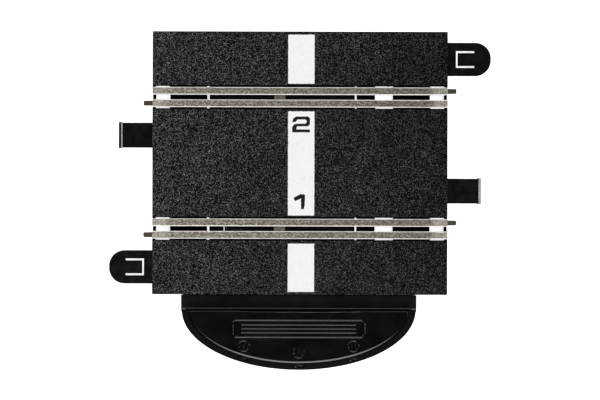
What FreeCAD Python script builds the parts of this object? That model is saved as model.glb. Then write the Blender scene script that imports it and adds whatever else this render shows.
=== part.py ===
"""Two-lane slot car power track: a half straight of moulded track with its power base.

Frame: the origin is the middle of the roadway, on the surface that the track lies on. +X runs along the lanes,
+Y points across them, away from the power base, and +Z is up. The connectors at the two ends are the same after
half a turn about Z, so each is described once, at the +X end, and turned for the other. Millimetres throughout.
"""
import FreeCAD, Part
import os
import re

import Sketcher

DOC = FreeCAD.newDocument("slot_car_power_track")
SHEET = "Dimensions"
Vector = FreeCAD.Vector

# ---------------------------------------------------------------- driving dimensions

DIMENSIONS = {
    # roadway moulding
    "deck_length": 175.0,
    "deck_width": 156.0,
    "deck_height": 8.5,
    "skin": 1.8,
    "edge_wall": 1.6,
    "rib": 1.2,
    "rib_bottom": 0.4,
    # lanes and rail channels
    "lane_spacing": 78.0,
    "slot_width": 2.8,
    "slot_depth": 7.0,
    "slot_floor": 1.0,
    "slot_wall": 1.4,
    "ledge": 1.6,
    "channel_wall": 1.2,
    "rail_side_gap": 0.6,
    "end_window_inset": 1.9,
    "end_window_length": 8.3,
    "mid_window_inset": 32.3,
    "mid_window_length": 10.6,
    # rails
    "rail_width": 4.6,
    "rail_height": 1.3,
    "rail_strip": 0.4,
    "rail_proud": 0.1,
    "rail_edge_radius": 0.6,
    "rail_tongue_width": 3.0,
    "rail_tongue_reach": 5.3,
    "rail_tongue_corner": 0.8,
    "rail_tongue_root": 4.0,
    "rail_play": 0.05,
    "lug_length": 5.0,
    "lug_play": 0.2,
    # end connectors
    "tab_bottom": 2.6,
    "tab_thickness": 1.8,
    "latch_offset": 61.9,
    "latch_width": 19.8,
    "latch_reach": 25.8,
    "latch_cut": 1.15,
    "latch_cut_inset": 5.1,
    "tongue_width": 7.7,
    "tongue_length": 9.8,
    "tongue_thickness": 1.4,
    "tongue_droop": 0.5,
    "nib_length": 0.9,
    "nib_ramp": 1.6,
    "nib_bottom": 1.0,
    "hook_offset": 16.4,
    "hook_width": 14.8,
    "hook_reach": 20.2,
    "hook_lip": 2.2,
    "hook_lip_height": 1.0,
    "hook_lip_side": 0.4,
    "socket_play": 0.3,
    "socket_wall": 1.2,
    "guide_ledge": 1.5,
    "catch_bar": 1.8,
    "catch_gap": 0.25,
    "lug_arm_width": 10.0,
    "lug_arm_thickness": 0.7,
    "lug_arm_root": 5.0,
    "lug_arm_slope": 0.9,
    "lug_arm_gap": 0.3,
    "lug_foot_length": 3.0,
    "lug_foot_width": 2.6,
    "lug_foot_gap": 0.75,
    "lug_foot_bottom": 1.2,
    "flexure_play": 0.08,
    # base plate
    "plate_thickness": 1.4,
    "plate_left": 53.9,
    "plate_right": 32.6,
    "plate_far": 47.6,
    "plate_slit": 0.5,
    "plate_slit_at": 45.1,
    "plate_gap": 1.0,
    "deck_screw_along": 26.25,
    "deck_screw_far": 9.75,
    "deck_screw_near": 9.75,
    "bay_window": 5.0,
    "fit_gap": 0.3,
    "bay_clearance": 1.9,
    # power base cover
    "cover_shift": -0.5,
    "cover_half_width": 69.8,
    "cover_depth": 45.2,
    "cover_height": 17.0,
    "cover_bottom": 0.4,
    "cover_wall": 2.0,
    "cover_side_draft": 5.0,
    "cover_front_draft": 4.6,
    "shelf_depth": 9.35,
    "shelf_height": 7.4,
    "shelf_gap": 0.5,
    "lid_bow": 0.5,
    "lid_bow_radius": 1800.0,
    "bead_radius": 0.7,
    "bead_inset": 0.85,
    "lid_edge_radius": 1.9,
    "lid_back_radius": 0.5,
    "relief": 0.4,
    "badge_length": 79.0,
    "badge_width": 11.3,
    "badge_border": 0.65,
    "badge_corner": 2.4,
    "badge_inset": 4.85,
    "badge_bar": 0.5,
    "badge_bar_pitch": 2.3,
    "badge_bar_inset": 5.0,
    "icon_radius": 3.1,
    "icon_line": 0.45,
    "icon_side_inset": 20.75,
    "icon_middle_inset": 24.55,
    # screws
    "screw_radius": 1.3,
    "screw_head_radius": 2.5,
    "screw_head_height": 1.6,
    "screw_length": 4.4,
    "screw_play": 0.06,
    "screw_recess": 0.3,
    "well_wall": 1.2,
    "boss_radius": 3.3,
    "cover_screw_offset": 51.0,
    "cover_screw_inset": 9.95,
    # circuit board and its parts
    "board_half_length": 40.0,
    "board_depth": 20.6,
    "board_inset": 4.35,
    "board_thickness": 1.6,
    "board_bottom": 4.0,
    "board_post_radius": 1.8,
    "board_post_inset": 9.0,
    "socket_spacing": 32.3,
    "throttle_axis": 10.0,
    "throttle_bore": 1.8,
    "throttle_barrel": 3.0,
    "throttle_body_width": 8.6,
    "throttle_body_length": 9.8,
    "throttle_body_height": 8.2,
    "throttle_body_front": 23.95,
    "throttle_nose": 4.8,
    "throttle_bore_depth": 13.0,
    "nose_play": 0.3,
    "power_axis": 10.4,
    "power_bore": 2.8,
    "power_pin": 1.0,
    "power_barrel": 3.9,
    "power_body_width": 9.0,
    "power_body_length": 12.0,
    "power_body_height": 8.8,
    "power_body_front": 29.15,
    "power_nose": 3.6,
    "power_bore_depth": 9.5,
    "power_pin_recess": 1.0,
    "choke_radius": 2.0,
    "choke_length": 9.0,
    "capacitor_length": 7.0,
    "capacitor_width": 2.6,
    "capacitor_height": 5.4,
    # wiring
    "bus_left": 15.4,
    "bus_width": 6.6,
    "bus_strip": 0.4,
    "lead_radius": 0.65,
    "lead_at": 43.9,
    "lane_1_lead_start": 39.3,
    "lane_2_lead_start": 35.2,
    "wiring_start": 8.0,
}

# Sizes that follow from the driving dimensions, each written once.
DERIVED = {
    "half_length": "deck_length / 2",
    "half_width": "deck_width / 2",
    "rib_pitch_along": "deck_length / 10",
    "rib_pitch_across": "lane_spacing / 4",
    "skin_bottom": "deck_height - skin",
    "skin_middle": "deck_height - skin / 2",
    "lane": "lane_spacing / 2",
    "rail_offset": "(slot_width + rail_width) / 2",
    "channel_half": "slot_width / 2 + rail_width + rail_side_gap",
    "rail_top": "deck_height + rail_proud",
    "ledge_top": "rail_top - rail_height",
    "slot_bottom": "deck_height - slot_depth",
    "window_outer": "half_length - mid_window_inset",
    "bay_right": "plate_right + plate_gap",
    "bay_far": "plate_far + plate_gap",
    "bay_top": "plate_thickness + bay_clearance",
    "tab_top": "tab_bottom + tab_thickness",
    "tab_middle": "tab_bottom + tab_thickness / 2",
    "latch_corner": "latch_width * 7 / 15",
    "tongue_free": "latch_cut_inset + latch_cut",
    "tongue_root": "tongue_free + tongue_length",
    "tongue_hinge": "tongue_root - tongue_thickness / 2 - flexure_play",
    "guide_top": "tab_bottom - socket_play",
    "latch_socket_half": "latch_width / 2 + socket_play",
    "hook_socket_half": "hook_width / 2 + hook_lip_side + socket_play",
    "lug_free": "hook_reach - hook_lip - lug_arm_gap",
    "lug_hinge": "lug_arm_root + flexure_play + lug_arm_thickness / 2",
    "lug_low": "tab_top + lug_arm_gap",
    "lug_hinge_height": "lug_low + lug_arm_slope + lug_arm_thickness / 2",
    "lug_foot_inner": "hook_width / 2 + hook_lip_side + lug_foot_gap",
    "lid_back": "half_width + shelf_depth",
    "lid_depth": "cover_depth - shelf_depth",
    "lid_inside": "cover_height - cover_wall",
    "board_top": "board_bottom + board_thickness",
    "board_back": "lid_back + board_inset",
    "board_front": "board_back + board_depth",
    "throttle_front": "lid_back + throttle_body_front",
    "power_front": "lid_back + power_body_front",
    "bus_right": "bus_left - bus_width",
    "bus_middle": "bus_left - bus_width / 2",
    "lug_bottom": "plate_thickness + bus_strip",
    "lead_height": "plate_thickness + lead_radius",
    "lead_lug_bottom": "plate_thickness + 2 * lead_radius",
    "head_top": "screw_recess + screw_head_height",
}


def expression(text):
    """An expression over the sheet: every alias gets the sheet's name, and derived sizes are written out."""

    def expand(match):
        word = match.group(0)
        if word in DIMENSIONS:
            return f"{SHEET}.{word}"
        if word in DERIVED:
            return f"({expression(DERIVED[word])})"
        return word

    return re.sub(r"[a-z][a-z_0-9]*", expand, str(text))


sheet = DOC.addObject("Spreadsheet::Sheet", SHEET)
for row, (alias, number) in enumerate(DIMENSIONS.items(), start=1):
    sheet.set(f"A{row}", alias)
    sheet.set(f"B{row}", str(number))
    sheet.setAlias(f"B{row}", alias)
DOC.recompute()

# ---------------------------------------------------------------- modelling helpers

TURNS = {
    "x": FreeCAD.Rotation(Vector(0, 1, 0), 90),
    "y": FreeCAD.Rotation(Vector(1, 0, 0), -90),
    "z": FreeCAD.Rotation(),
}
HALF_TURN = FreeCAD.Rotation(Vector(0, 0, 1), 180)


def bind(item, **properties):
    """Binds an object's properties to expressions. A double underscore in a name stands for a full stop."""
    for name, text in properties.items():
        item.setExpression(name.replace("__", "."), expression(text))
    return item


def spans(x, y, turned):
    """Two spans in plan, or the same two after half a turn about Z."""
    if turned:
        return (f"-({x[1]})", f"-({x[0]})"), (f"-({y[1]})", f"-({y[0]})")
    return x, y


def block(name, x, y, z, turned=False):
    """A box between two planes on each axis."""
    x, y = spans(x, y, turned)
    item = DOC.addObject("Part::Box", name)
    bind(item, Length=f"({x[1]}) - ({x[0]})", Width=f"({y[1]}) - ({y[0]})", Height=f"({z[1]}) - ({z[0]})")
    return bind(item, Placement__Base__x=x[0], Placement__Base__y=y[0], Placement__Base__z=z[0])


def rod(name, start, along, length, radius):
    """A round bar from a start point, along one axis."""
    item = DOC.addObject("Part::Cylinder", name)
    item.Placement.Rotation = TURNS[along]
    bind(item, Radius=radius, Height=length)
    return bind(item, Placement__Base__x=start[0], Placement__Base__y=start[1], Placement__Base__z=start[2])


def ball(name, centre, radius):
    """A sphere."""
    item = DOC.addObject("Part::Sphere", name)
    bind(item, Radius=radius)
    return bind(item, Placement__Base__x=centre[0], Placement__Base__y=centre[1], Placement__Base__z=centre[2])


def fuse(name, shapes):
    """One solid from several that touch or overlap."""
    item = DOC.addObject("Part::MultiFuse", name)
    item.Shapes = shapes
    return item


def cut(name, base, tools):
    """A solid with others taken away from it."""
    item = DOC.addObject("Part::Cut", name)
    item.Base = base
    item.Tool = tools[0] if len(tools) == 1 else fuse(f"{name}_tools", tools)
    return item


def common(name, shapes):
    """What several solids share."""
    item = DOC.addObject("Part::MultiCommon", name)
    item.Shapes = shapes
    return item


def about(middle, half):
    """A span that reaches the same way on both sides of a middle."""
    return f"({middle}) - ({half})", f"({middle}) + ({half})"


def new_body(name, x="0", y="0", z="0", turned=False):
    """A body whose own origin is set down at a point, turned half way round for the -X end."""
    body = DOC.addObject("PartDesign::Body", name)
    if turned:
        body.Placement.Rotation = HALF_TURN
        x, y = f"-({x})", f"-({y})"
    return bind(body, Placement__Base__x=x, Placement__Base__y=y, Placement__Base__z=z)


def outline(body, name, plane, points, lift="0"):
    """A closed sketch of straight lines on one of the body's origin planes, each corner bound in both ways."""
    sketch = body.newObject("Sketcher::SketchObject", name)
    support = next(item for item in body.Origin.OriginFeatures if item.Role == plane)
    sketch.AttachmentSupport = [(support, "")]
    sketch.MapMode = "FlatFace"
    bind(sketch, AttachmentOffset__Base__z=lift)
    corners = [tuple(float(value_of(part)) for part in point) for point in points]
    count = len(points)
    for index in range(count):
        start, end = corners[index], corners[(index + 1) % count]
        sketch.addGeometry(Part.LineSegment(Vector(*start, 0), Vector(*end, 0)), False)
    for index in range(count):
        sketch.addConstraint(Sketcher.Constraint("Coincident", index, 2, (index + 1) % count, 1))
    for index, point in enumerate(points):
        for kind, place, text in zip(("DistanceX", "DistanceY"), corners[index], point):
            number = sketch.addConstraint(Sketcher.Constraint(kind, -1, 1, index, 1, place))
            sketch.renameConstraint(number, f"{kind}_{index}")
            sketch.setExpression(f"Constraints.{kind}_{index}", expression(text))
    return sketch


def value_of(text):
    """The number that an expression has now, worked out by the sheet itself."""
    return sheet.evalExpression(expression(text).replace(f"{SHEET}.", ""))


def pad(body, name, sketch, length, midplane=False, reversed_way=False):
    """Material on one side of a sketch, or on both when midplane is true."""
    feature = body.newObject("PartDesign::Pad", name)
    feature.Profile = sketch
    feature.Midplane = midplane
    feature.Reversed = reversed_way
    return bind(feature, Length=length)


def pocket(body, name, sketch, length, reversed_way=False):
    """A cut from a sketch into the body."""
    feature = body.newObject("PartDesign::Pocket", name)
    feature.Profile = sketch
    feature.Reversed = reversed_way
    return bind(feature, Length=length)


def fillet(body, name, radius, keep):
    """Rounds the edges of the body's last feature for which keep(edge) is true."""
    DOC.recompute()
    base = body.Tip
    names = [f"Edge{number}" for number, edge in enumerate(base.Shape.Edges, start=1) if keep(edge)]
    feature = body.newObject("PartDesign::Fillet", name)
    feature.Base = (base, names)
    return bind(feature, Radius=radius)


def upright(edge):
    """True for an edge that stands along Z."""
    box = edge.BoundBox
    return box.XLength < 1e-6 and box.YLength < 1e-6


ENDS = (("right", False), ("left", True))
PARTS = {}

# ---------------------------------------------------------------- rails

# Each lane has two rails of folded strip. The far one (on the +Y side) has its joining tongue at the +X end, and
# the near one has it at the -X end, so that the near rails are the far rails turned half way round.
# A far rail's lug reaches the bus strip, and a near rail's lug reaches its feed lead.


def make_rail(name, lane, turned):
    """A folded rail with its joining tongue and its solder lug, at one lane's far side (or near side, turned)."""
    own_lane = f"-({lane})" if turned else lane
    body = new_body(name, "0", f"{own_lane} + rail_offset", "0", turned)
    inside = "rail_width / 2 - rail_strip"
    section = [
        ("-rail_width / 2", "ledge_top"),
        (f"-({inside})", "ledge_top"),
        (f"-({inside})", "rail_top - rail_strip"),
        (inside, "rail_top - rail_strip"),
        (inside, "ledge_top"),
        ("rail_width / 2", "ledge_top"),
        ("rail_width / 2", "rail_top"),
        ("-rail_width / 2", "rail_top"),
    ]
    pad(body, f"{name}_fold", outline(body, f"{name}_section", "YZ_Plane", section), "deck_length", midplane=True)

    def long_top_edge(edge):
        box = edge.BoundBox
        outside = abs(abs(box.YMin) - value_of("rail_width / 2")) < 1e-4
        return box.XLength > value_of("half_length") and outside and box.ZMin > value_of("rail_top") - 1e-4

    fillet(body, f"{name}_edges", "rail_edge_radius", long_top_edge)
    tongue_top = "rail_top - rail_strip - rail_play"
    half_tongue = "rail_tongue_width / 2"
    tongue = [
        ("half_length - rail_tongue_root", f"-{half_tongue}"),
        ("half_length + rail_tongue_reach", f"-{half_tongue}"),
        ("half_length + rail_tongue_reach", half_tongue),
        ("half_length - rail_tongue_root", half_tongue),
    ]
    flat = outline(body, f"{name}_tongue_plan", "XY_Plane", tongue, f"{tongue_top} - rail_strip")
    pad(body, f"{name}_tongue", flat, "rail_strip")
    tip = value_of("half_length + rail_tongue_reach") - 1e-4
    fillet(body, f"{name}_tip", "rail_tongue_corner", lambda edge: upright(edge) and edge.BoundBox.XMin > tip)
    joggle = [
        ("half_length - rail_tongue_root", f"-{half_tongue}"),
        ("half_length - rail_tongue_root / 4", f"-{half_tongue}"),
        ("half_length - rail_tongue_root / 4", half_tongue),
        ("half_length - rail_tongue_root", half_tongue),
    ]
    step = outline(body, f"{name}_joggle_plan", "XY_Plane", joggle, f"{tongue_top} - rail_strip")
    pad(body, f"{name}_joggle", step, "rail_strip * 3 / 2 + rail_play")
    side = "lead_at" if turned else "-bus_middle"
    bottom = "lead_lug_bottom" if turned else "lug_bottom"
    outer = "rail_width / 2"
    lug = [
        (f"{side} - lug_length / 2", f"{outer} - rail_strip"),
        (f"{side} + lug_length / 2", f"{outer} - rail_strip"),
        (f"{side} + lug_length / 2", outer),
        (f"{side} - lug_length / 2", outer),
    ]
    strip = outline(body, f"{name}_lug_plan", "XY_Plane", lug, bottom)
    pad(body, f"{name}_lug", strip, f"ledge_top + rail_strip - ({bottom})")
    PARTS[name] = body
    return body


make_rail("lane_1_far_rail", "-lane", False)
make_rail("lane_2_far_rail", "lane", False)
make_rail("lane_1_near_rail", "-lane", True)
make_rail("lane_2_near_rail", "lane", True)

# ---------------------------------------------------------------- end connectors


def make_latch_tab(end, turned):
    """The rounded tab, with the opening that its spring tongue works in."""
    name = f"latch_tab_{end}"
    body = new_body(name, "half_length", "latch_offset", "0", turned)
    half = "latch_width / 2"
    plan = [("0", f"-{half}"), ("latch_reach", f"-{half}"), ("latch_reach", half), ("0", half)]
    pad(body, f"{name}_slab", outline(body, f"{name}_plan", "XY_Plane", plan, "tab_bottom"), "tab_thickness")
    reach = value_of("latch_reach")
    fillet(body, f"{name}_corners", "latch_corner", lambda edge: upright(edge) and edge.BoundBox.XMin > reach / 2)
    side = "tongue_width / 2 + latch_cut"
    hole = [("latch_cut_inset", f"-({side})"), ("tongue_root", f"-({side})"), ("tongue_root", side),
            ("latch_cut_inset", side)]
    opening = outline(body, f"{name}_opening_plan", "XY_Plane", hole, "tab_top")
    pocket(body, f"{name}_opening", opening, "tab_thickness")
    PARTS[name] = body


def make_latch_tongue(end, turned):
    """The spring tongue: it droops to its free end, and has a nib below with a ramp on the leading side."""
    name = f"latch_tongue_{end}"
    body = new_body(name, "half_length", "latch_offset", "0", turned)
    top = "tab_middle + tongue_thickness / 2"
    bottom = "tab_middle - tongue_thickness / 2"
    profile = [
        ("tongue_free", f"{top} - tongue_droop"),
        ("tongue_free", "nib_bottom"),
        ("tongue_free + nib_length", "nib_bottom"),
        ("tongue_free + nib_length + nib_ramp", f"{bottom} - tongue_droop * 3 / 4"),
        ("tongue_hinge", bottom),
        ("tongue_hinge", top),
    ]
    side = outline(body, f"{name}_profile", "XZ_Plane", profile)
    pad(body, f"{name}_blade", side, "tongue_width", midplane=True)
    DOC.recompute()
    root = body.newObject("PartDesign::AdditiveCylinder", f"{name}_root")
    root.Placement.Rotation = TURNS["y"]
    bind(root, Radius="tongue_thickness / 2", Height="tongue_width")
    bind(root, Placement__Base__x="tongue_hinge", Placement__Base__y="-tongue_width / 2")
    bind(root, Placement__Base__z="tab_middle")
    PARTS[name] = body


def make_hook_tab(end, turned):
    """The square tab: a flat slab, and along its leading edge a slightly wider lip with a roof-shaped crown."""
    name = f"hook_tab_{end}"
    body = new_body(name, "half_length", "-hook_offset", "0", turned)
    lip_top = "tab_top + hook_lip_height"
    slab = [("0", "tab_bottom"), ("hook_reach", "tab_bottom"), ("hook_reach", "tab_top"), ("0", "tab_top")]
    lip = [
        ("hook_reach - hook_lip", "tab_bottom"),
        ("hook_reach", "tab_bottom"),
        ("hook_reach", "tab_top + hook_lip_height / 4"),
        ("hook_reach - hook_lip * 7 / 10", lip_top),
        ("hook_reach - hook_lip", "tab_top + hook_lip_height * 13 / 20"),
    ]
    pad(body, f"{name}_slab", outline(body, f"{name}_slab_profile", "XZ_Plane", slab), "hook_width", midplane=True)
    pad(body, f"{name}_lip", outline(body, f"{name}_lip_profile", "XZ_Plane", lip),
        "hook_width + 2 * hook_lip_side", midplane=True)
    PARTS[name] = body


def make_release_lug(end, turned):
    """The spring arm that holds a neighbour's hooked lip, with a foot beside it to push it clear from below."""
    name = f"release_lug_{end}"
    body = new_body(name, "half_length", "hook_offset", "0", turned)
    half = "lug_arm_thickness / 2"
    profile = [
        ("-lug_free", "lug_low"),
        ("-lug_hinge", f"lug_hinge_height - {half}"),
        ("-lug_hinge", f"lug_hinge_height + {half}"),
        ("-lug_free", "lug_low + lug_arm_thickness"),
    ]
    pad(body, f"{name}_arm", outline(body, f"{name}_profile", "XZ_Plane", profile), "lug_arm_width", midplane=True)
    DOC.recompute()
    root = body.newObject("PartDesign::AdditiveCylinder", f"{name}_root")
    root.Placement.Rotation = TURNS["y"]
    bind(root, Radius=half, Height="lug_arm_width")
    bind(root, Placement__Base__x="-lug_hinge", Placement__Base__y="-lug_arm_width / 2")
    bind(root, Placement__Base__z="lug_hinge_height")
    foot_outer = "lug_foot_inner + lug_foot_width"
    low, high = "-lug_free", "-lug_free + lug_foot_length"
    bridge = [(low, "0"), (high, "0"), (high, foot_outer), (low, foot_outer)]
    plan = outline(body, f"{name}_bridge_plan", "XY_Plane", bridge, "lug_low")
    pad(body, f"{name}_bridge", plan, "lug_arm_thickness")
    foot = [(low, "lug_foot_inner"), (high, "lug_foot_inner"), (high, foot_outer), (low, foot_outer)]
    plan = outline(body, f"{name}_foot_plan", "XY_Plane", foot, "lug_foot_bottom")
    pad(body, f"{name}_foot", plan, "lug_low + lug_arm_thickness / 2 - lug_foot_bottom")
    PARTS[name] = body


for end, turned in ENDS:
    make_latch_tab(end, turned)
    make_latch_tongue(end, turned)
    make_hook_tab(end, turned)
    make_release_lug(end, turned)

# ---------------------------------------------------------------- roadway

LANES = (("lane_1", "-lane"), ("lane_2", "lane"))
DECK_SCREWS = (
    ("far_left", "-deck_screw_along", "deck_screw_far"),
    ("far_right", "deck_screw_along", "deck_screw_far"),
    ("near_left", "-deck_screw_along", "deck_screw_near - half_width"),
    ("near_right", "deck_screw_along", "deck_screw_near - half_width"),
)
COVER_SCREWS = (
    ("cover_left", "cover_shift - cover_screw_offset", "-(lid_back + cover_screw_inset)"),
    ("cover_right", "cover_shift + cover_screw_offset", "-(lid_back + cover_screw_inset)"),
)
BELOW = "-plate_gap"
ABOVE = "rail_top + plate_gap"

framework = [
    block("deck_skin", ("-half_length", "half_length"), ("-half_width", "half_width"), ("skin_bottom", "deck_height")),
    block("deck_wall_far", ("-half_length", "half_length"), ("half_width - edge_wall", "half_width"),
          ("0", "skin_middle")),
    block("deck_wall_near", ("-half_length", "half_length"), ("-half_width", "edge_wall - half_width"),
          ("0", "skin_middle")),
    block("deck_wall_right", ("half_length - edge_wall", "half_length"), ("-half_width", "half_width"),
          ("0", "skin_middle")),
    block("deck_wall_left", ("-half_length", "edge_wall - half_length"), ("-half_width", "half_width"),
          ("0", "skin_middle")),
]
for count in range(-4, 5):
    framework.append(block(f"cross_rib_{count + 5}", about(f"{count} * rib_pitch_along", "rib / 2"),
                           ("edge_wall / 2 - half_width", "half_width - edge_wall / 2"),
                           ("rib_bottom", "skin_middle")))
for count in (-3, -1, 0, 1, 3):
    framework.append(block(f"long_rib_{count + 4}", ("edge_wall / 2 - half_length", "half_length - edge_wall / 2"),
                           about(f"{count} * rib_pitch_across", "rib / 2"), ("rib_bottom", "skin_middle")))

# The ribs stop short of the sockets for the neighbour's tabs.
clear = []
for end, turned in ENDS:
    clear.append(block(f"latch_space_{end}",
                       ("half_length - latch_reach - socket_play - socket_wall", "half_length - edge_wall"),
                       about("-latch_offset", "latch_socket_half + socket_wall"), (BELOW, "skin_bottom"), turned))
    clear.append(block(f"hook_space_{end}",
                       ("half_length - hook_reach - socket_play - socket_wall", "half_length - edge_wall"),
                       ("hook_offset - hook_socket_half - socket_wall",
                        "hook_offset + lug_foot_inner + lug_foot_width + lug_foot_gap"),
                       (BELOW, "skin_bottom"), turned))
ribbed = cut("ribbed_deck", fuse("deck_framework", framework), clear)

solids = [ribbed]
for lane_name, middle in LANES:
    solids.append(block(f"{lane_name}_trough", ("-half_length", "half_length"),
                        about(middle, "slot_width / 2 + slot_wall"), ("slot_bottom - slot_floor", "skin_middle")))
    solids.append(block(f"{lane_name}_ledge", ("-half_length", "half_length"),
                        about(middle, "channel_half + channel_wall"), ("ledge_top - ledge", "skin_middle")))
for end, turned in ENDS:
    for side, way in (("near", -1), ("far", 1)):
        inner = f"-latch_offset + {way} * latch_socket_half"
        outer = f"{inner} + {way} * socket_wall"
        ledge = f"{inner} - {way} * guide_ledge"
        wall_span = (inner, outer) if way > 0 else (outer, inner)
        ledge_span = (ledge, outer) if way > 0 else (outer, ledge)
        deep = ("half_length - latch_reach - socket_play - socket_wall", "half_length")
        solids.append(block(f"latch_wall_{side}_{end}", deep, wall_span, ("rib_bottom", "skin_middle"), turned))
        solids.append(block(f"latch_guide_{side}_{end}", deep, ledge_span, ("rib_bottom", "guide_top"), turned))
        inner = f"hook_offset + {way} * hook_socket_half"
        outer = f"{inner} + {way} * socket_wall"
        ledge = f"{inner} - {way} * guide_ledge"
        wall_span = (inner, outer) if way > 0 else (outer, inner)
        ledge_span = (ledge, outer) if way > 0 else (outer, ledge)
        short = "lug_free - lug_foot_length - lug_foot_gap" if way > 0 else "hook_reach + socket_play + socket_wall"
        deep = (f"half_length - ({short})", "half_length")
        solids.append(block(f"hook_wall_{side}_{end}", deep, wall_span, ("rib_bottom", "skin_middle"), turned))
        solids.append(block(f"hook_guide_{side}_{end}", deep, ledge_span, ("rib_bottom", "guide_top"), turned))
    catch = "half_length - tongue_free + catch_gap"
    solids.append(block(f"latch_catch_{end}", (catch, f"{catch} + catch_bar"),
                        about("-latch_offset", "latch_socket_half + socket_wall"), ("rib_bottom", "guide_top"),
                        turned))
    solids.append(block(f"latch_stop_{end}",
                        ("half_length - latch_reach - socket_play - socket_wall",
                         "half_length - latch_reach - socket_play"),
                        about("-latch_offset", "latch_socket_half + socket_wall"), ("rib_bottom", "skin_middle"),
                        turned))
    solids.append(block(f"hook_stop_{end}",
                        ("half_length - hook_reach - socket_play - socket_wall",
                         "half_length - hook_reach - socket_play"),
                        ("hook_offset - hook_socket_half - socket_wall",
                         "hook_offset + lug_foot_inner + lug_foot_width + lug_foot_gap"),
                        ("rib_bottom", "skin_middle"), turned))
    solids.append(block(f"lug_hanger_{end}", ("half_length - lug_arm_root", "half_length"),
                        about("hook_offset", "lug_arm_width / 2"),
                        ("lug_hinge_height - lug_arm_thickness / 2", "skin_middle"), turned))
for place, x, y in DECK_SCREWS:
    solids.append(rod(f"deck_boss_{place}", (x, y, "bay_top"), "z", "skin_middle - bay_top", "boss_radius"))

holes = [
    block("wiring_bay", ("-window_outer", "bay_right"), ("-half_width - plate_gap", "bay_far"), (BELOW, "bay_top")),
]
for lane_name, middle in LANES:
    beyond = ("-half_length - plate_gap", "half_length + plate_gap")
    channel = about(middle, "channel_half")
    holes.append(block(f"{lane_name}_channel", beyond, channel, ("ledge_top", ABOVE)))
    holes.append(block(f"{lane_name}_slot", beyond, about(middle, "slot_width / 2"), ("slot_bottom", ABOVE)))
    holes.append(block(f"{lane_name}_open_slot", ("-window_outer", "bay_right"), about(middle, "slot_width / 2"),
                       (BELOW, ABOVE)))
    for end, turned in ENDS:
        same = middle if not turned else f"-({middle})"
        across = about(same, "channel_half")
        holes.append(block(f"{lane_name}_end_window_{end}",
                           ("half_length - end_window_inset - end_window_length", "half_length - end_window_inset"),
                           across, (BELOW, ABOVE), turned))
        holes.append(block(f"{lane_name}_mid_window_{end}",
                           ("window_outer - mid_window_length", "window_outer"), across, (BELOW, ABOVE), turned))
    holes.append(block(f"{lane_name}_bay_window", ("bay_right - bay_window", "bay_right"), channel, (BELOW, ABOVE)))
    outer = "rail_offset + rail_width / 2"
    holes.append(block(f"{lane_name}_bus_slit", about("-bus_middle", "lug_length / 2 + lug_play"),
                       (f"{middle} + {outer} - rail_strip - lug_play", f"{middle} + {outer} + lug_play"),
                       (BELOW, ABOVE)))
    holes.append(block(f"{lane_name}_lead_slit", about("-lead_at", "lug_length / 2 + lug_play"),
                       (f"{middle} - ({outer}) - lug_play", f"{middle} - ({outer}) + rail_strip + lug_play"),
                       (BELOW, ABOVE)))
for end, turned in ENDS:
    mouth = ("half_length - edge_wall - plate_gap", "half_length + plate_gap")
    holes.append(block(f"latch_mouth_{end}", mouth, about("-latch_offset", "latch_socket_half"),
                       ("guide_top", "skin_bottom"), turned))
    holes.append(block(f"hook_mouth_{end}", mouth, about("hook_offset", "hook_socket_half"),
                       ("guide_top", "lug_hinge_height - lug_arm_thickness / 2"), turned))
for place, x, y in DECK_SCREWS:
    holes.append(rod(f"deck_screw_hole_{place}", (x, y, BELOW), "z", "head_top + screw_length + plate_gap + fit_gap",
                     "screw_radius + screw_play"))
PARTS["roadway_deck"] = cut("roadway_deck", fuse("deck_solids", solids), holes)

# ---------------------------------------------------------------- power base cover


def oval(name, centre_y, half_length, half_depth, height):
    """A level ellipse, its long way along X, in the middle of the power base."""
    item = DOC.addObject("Part::Ellipse", name)
    bind(item, MajorRadius=half_length, MinorRadius=half_depth)
    return bind(item, Placement__Base__x="cover_shift", Placement__Base__y=centre_y, Placement__Base__z=height)


def oval_solid(name, centre_y, low, high):
    """A solid between two ellipses, each given as half length, half depth and height."""
    item = DOC.addObject("Part::Loft", name)
    item.Sections = [oval(f"{name}_low", centre_y, *low), oval(f"{name}_high", centre_y, *high)]
    item.Solid = True
    item.Ruled = True
    return item


def in_front_of(y, reach):
    """The span of Y from one reach in front of a plane back to that plane."""
    return f"({y}) - ({reach})", y


WIDE = about("cover_shift", "cover_half_width * 2")
low_oval = ("cover_half_width", "lid_depth", "cover_bottom")
high_oval = ("cover_half_width - cover_side_draft", "lid_depth - cover_front_draft", "cover_height")
lid_space = block("lid_half_space", WIDE, in_front_of("-lid_back", "cover_depth * 2"), (BELOW, "cover_height * 2"))
lid_half = common("lid_half", [oval_solid("lid_oval", "-lid_back", low_oval, high_oval), lid_space])
bow = rod("lid_bow_cut", ("cover_shift", "lid_bow_radius - lid_back - lid_bow", BELOW), "z", "cover_height * 2",
          "lid_bow_radius")
lid_blank = cut("lid_blank", lid_half, [bow])
lid_body = DOC.addObject("PartDesign::Body", "lid_outer")
lid_body.BaseFeature = lid_blank
DOC.recompute()
lid_body.Tip = lid_body.Group[0]
lid_top = value_of("cover_height")
bow_line = value_of("-lid_back - lid_bow * 3 / 2")
fillet(lid_body, "lid_front_rim", "lid_edge_radius",
       lambda edge: edge.BoundBox.ZMin > lid_top - 1e-4 and edge.BoundBox.YMin < bow_line)
fillet(lid_body, "lid_back_rim", "lid_back_radius",
       lambda edge: edge.BoundBox.ZMin > lid_top - 1e-4 and edge.BoundBox.YMin > bow_line)

shelf_x = about("cover_shift", "cover_half_width")
shelf_block = block("shelf", shelf_x, ("-lid_back - lid_bow * 3 / 2", "-half_width - shelf_gap"),
                    ("cover_bottom", "shelf_height"))
bead = rod("shelf_bead", ("cover_shift - cover_half_width", "bead_inset - lid_back", "shelf_height"), "x",
           "2 * cover_half_width", "bead_radius")

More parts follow.
